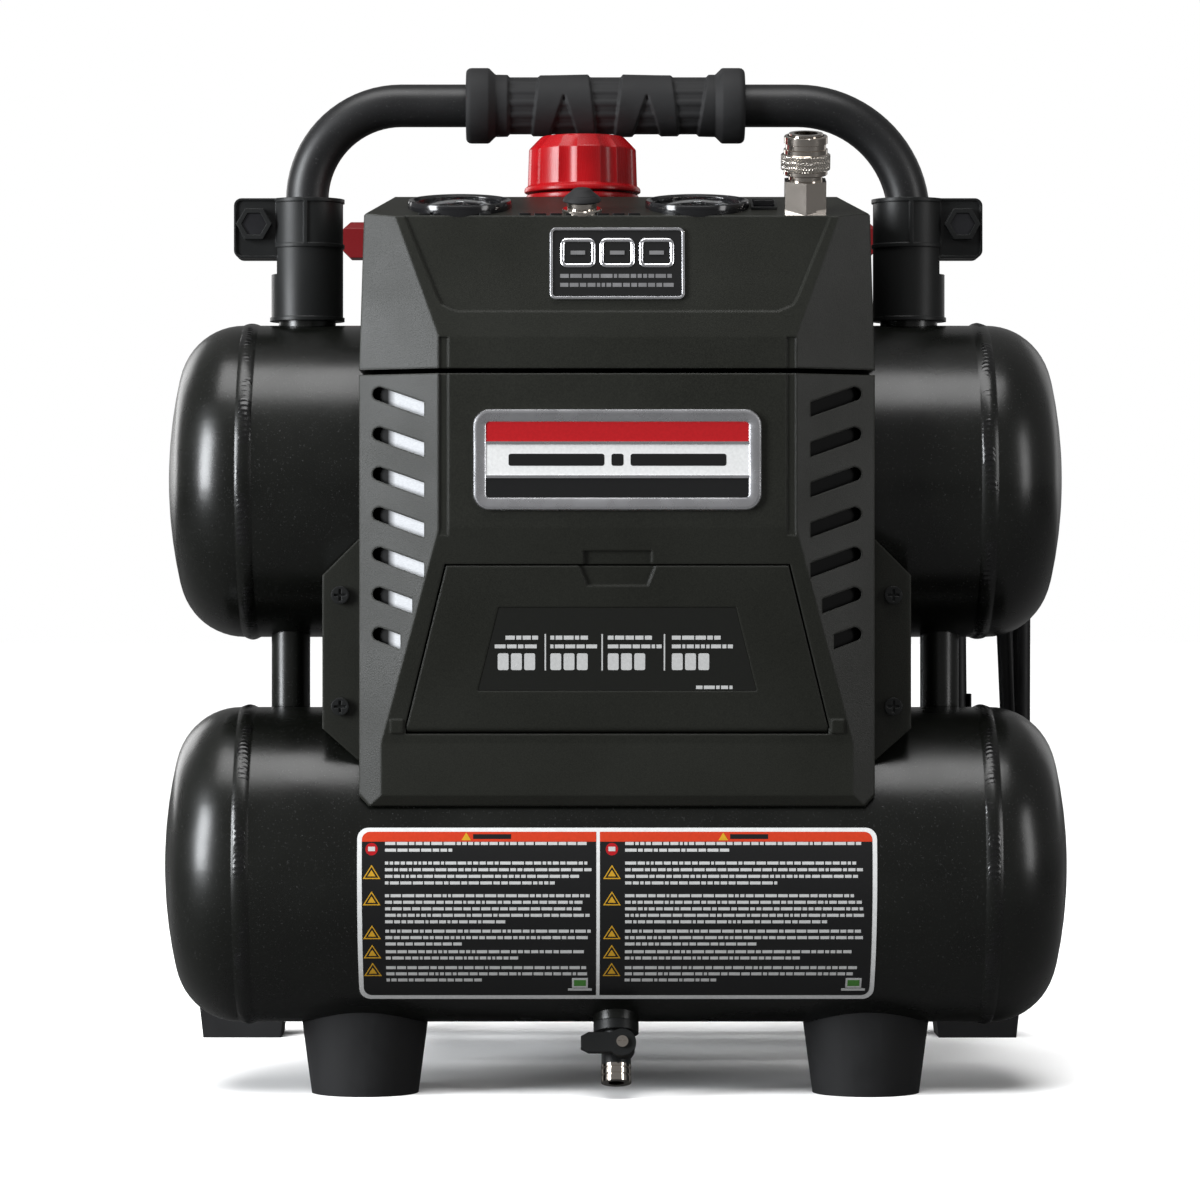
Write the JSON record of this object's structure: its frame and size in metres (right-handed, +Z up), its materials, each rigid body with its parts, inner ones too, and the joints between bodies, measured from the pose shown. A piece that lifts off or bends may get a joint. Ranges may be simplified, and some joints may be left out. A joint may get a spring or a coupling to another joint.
{
  "type": "portable air compressor",
  "caption": "Portable electric air compressor with stacked horizontal tanks, moulded front housing with gauges, regulator knob and storage door, carry handle and rear pump unit.",
  "frame": {"origin": "on the floor under the middle of the whole machine", "axes": "+Z up, -Y towards the console front, +X to the right of someone facing the console"},
  "size_m": [0.478, 0.446, 0.531],
  "materials": {
    "tank_paint": "satin",
    "handle_paint": "satin",
    "housing_plastic": "textured",
    "black_plastic": "matte",
    "gloss_black": "gloss",
    "red_plastic": "gloss",
    "black_rubber": "matte",
    "bright_nickel": "polished",
    "zinc_steel": "plated",
    "brass": "machined",
    "cast_aluminium": "cast",
    "lamination_steel": "stacked",
    "label_print": "printed",
    "badge_metal": "polished",
    "dial_white": "printed",
    "clear_lens": "clear",
    "copper": "drawn",
    "cord_jacket": "matte"
  },
  "bodies": {
    "chassis": {"upper_tank": "tank_paint", "lower_tank": "tank_paint", "tank_spacer_tubes": "tank_paint", "handle_connectors": "black_plastic", "handle_clamp_bolts": "zinc_steel", "m6_nuts": "zinc_steel", "handle_tube": "handle_paint", "handle_grip": "black_rubber", "rubber_feet": "black_rubber", "rear_frame": "tank_paint", "rear_handle": "red_plastic", "pump_plate": "tank_paint", "vibration_mounts": "black_rubber", "console_cover": "housing_plastic", "front_cover": "housing_plastic", "cover_tray": "housing_plastic", "vent_inserts": "badge_metal", "housing_screws": "zinc_steel", "storage_bin": "black_plastic", "badges": "badge_metal", "tank_label": "label_print", "manifold": "cast_aluminium", "regulator_body": "cast_aluminium", "regulator_panel_nut": "red_plastic", "gauge_cases": "gloss_black", "gauge_dials": "dial_white", "gauge_lenses": "clear_lens", "breaker_collar": "bright_nickel", "rocker_housing": "black_plastic", "coupler_body": "bright_nickel", "safety_valve": "brass", "pressure_switch": "black_plastic", "drain_body": "black_plastic", "drain_screw": "bright_nickel", "drain_outlet": "bright_nickel", "motor_housing": "cast_aluminium", "stator": "lamination_steel", "motor_bearings": "zinc_steel", "crankcases": "cast_aluminium", "cylinder_barrels": "cast_aluminium", "cylinder_heads": "cast_aluminium", "check_valve": "brass", "discharge_tube": "copper", "power_cord": "cord_jacket"},
    "regulator_knob": {"regulator_knob": "red_plastic"},
    "tank_pointer": {"tank_needle": "gloss_black"},
    "outlet_pointer": {"outlet_needle": "gloss_black"},
    "reset_button": {"reset_button": "black_plastic"},
    "power_rocker": {"power_rocker": "gloss_black"},
    "coupler_sleeve": {"coupler_sleeve": "bright_nickel"},
    "safety_pull_ring": {"safety_pull_ring": "zinc_steel"},
    "drain_lever": {"drain_lever": "black_plastic"},
    "storage_door": {"storage_door": "housing_plastic", "rating_plate": "label_print", "door_hinge_pins": "zinc_steel"},
    "rotor": {"rotor_shaft": "lamination_steel", "crank_discs": "cast_aluminium", "cooling_fan": "black_plastic"},
    "left_piston": {"left_piston": "cast_aluminium"},
    "right_piston": {"right_piston": "cast_aluminium"}
  },
  "joints": [
    {"name": "knob_turn", "type": "hinge", "parent": "chassis", "child": "regulator_knob", "pos_m": [-0.017, -0.1255, 0.475], "axis": [0, 0, -1], "range_deg": [0, 720]},
    {"name": "outlet_needle_turn", "type": "hinge", "parent": "chassis", "child": "outlet_pointer", "pos_m": [0.0406, -0.18339, 0.45167], "axis": [0, 0.2543, -0.9671], "range_deg": [0, 270]},
    {"name": "tank_needle_turn", "type": "hinge", "parent": "chassis", "child": "tank_pointer", "pos_m": [-0.079, -0.18339, 0.45167], "axis": [0, 0.2543, -0.9671], "range_deg": [0, 270]},
    {"name": "reset_press", "type": "slide", "parent": "chassis", "child": "reset_button", "axis": [0, 0.2543, -0.9671], "range_m": [0, 0.003], "stiffness_N_per_m": 400},
    {"name": "rocker_tip", "type": "hinge", "parent": "chassis", "child": "power_rocker", "pos_m": [0.074, -0.1801, 0.45098], "axis": [1, 0, 0], "range_deg": [0, 18]},
    {"name": "coupler_pull", "type": "slide", "parent": "chassis", "child": "coupler_sleeve", "axis": [0, 0.2543, -0.9671], "range_m": [0, 0.0025], "stiffness_N_per_m": 500},
    {"name": "safety_pull", "type": "slide", "parent": "chassis", "child": "safety_pull_ring", "axis": [0, 0, 1], "range_m": [0, 0.003], "stiffness_N_per_m": 800},
    {"name": "drain_turn", "type": "hinge", "parent": "chassis", "child": "drain_lever", "pos_m": [0.003, -0.17259, 0.02945], "axis": [0, -0.9397, 0.342], "range_deg": [0, 90]},
    {"name": "door_swing", "type": "hinge", "parent": "chassis", "child": "storage_door", "pos_m": [0, -0.20403, 0.1905], "axis": [1, 0, 0], "range_deg": [0, 95]},
    {"name": "motor_spin", "type": "hinge", "parent": "chassis", "child": "rotor", "pos_m": [0, 0.0935, 0.175], "axis": [1, 0, 0], "continuous": true},
    {"name": "right_piston_stroke", "type": "slide", "parent": "chassis", "child": "right_piston", "axis": [0, 0, 1], "range_m": [0, 0.02]},
    {"name": "left_piston_stroke", "type": "slide", "parent": "chassis", "child": "left_piston", "axis": [0, 0, 1], "range_m": [-0.02, 0]}
  ],
  "couplings": [
    {"joint": "left_piston_stroke", "follows": "right_piston_stroke", "ratio": -1}
  ]
}
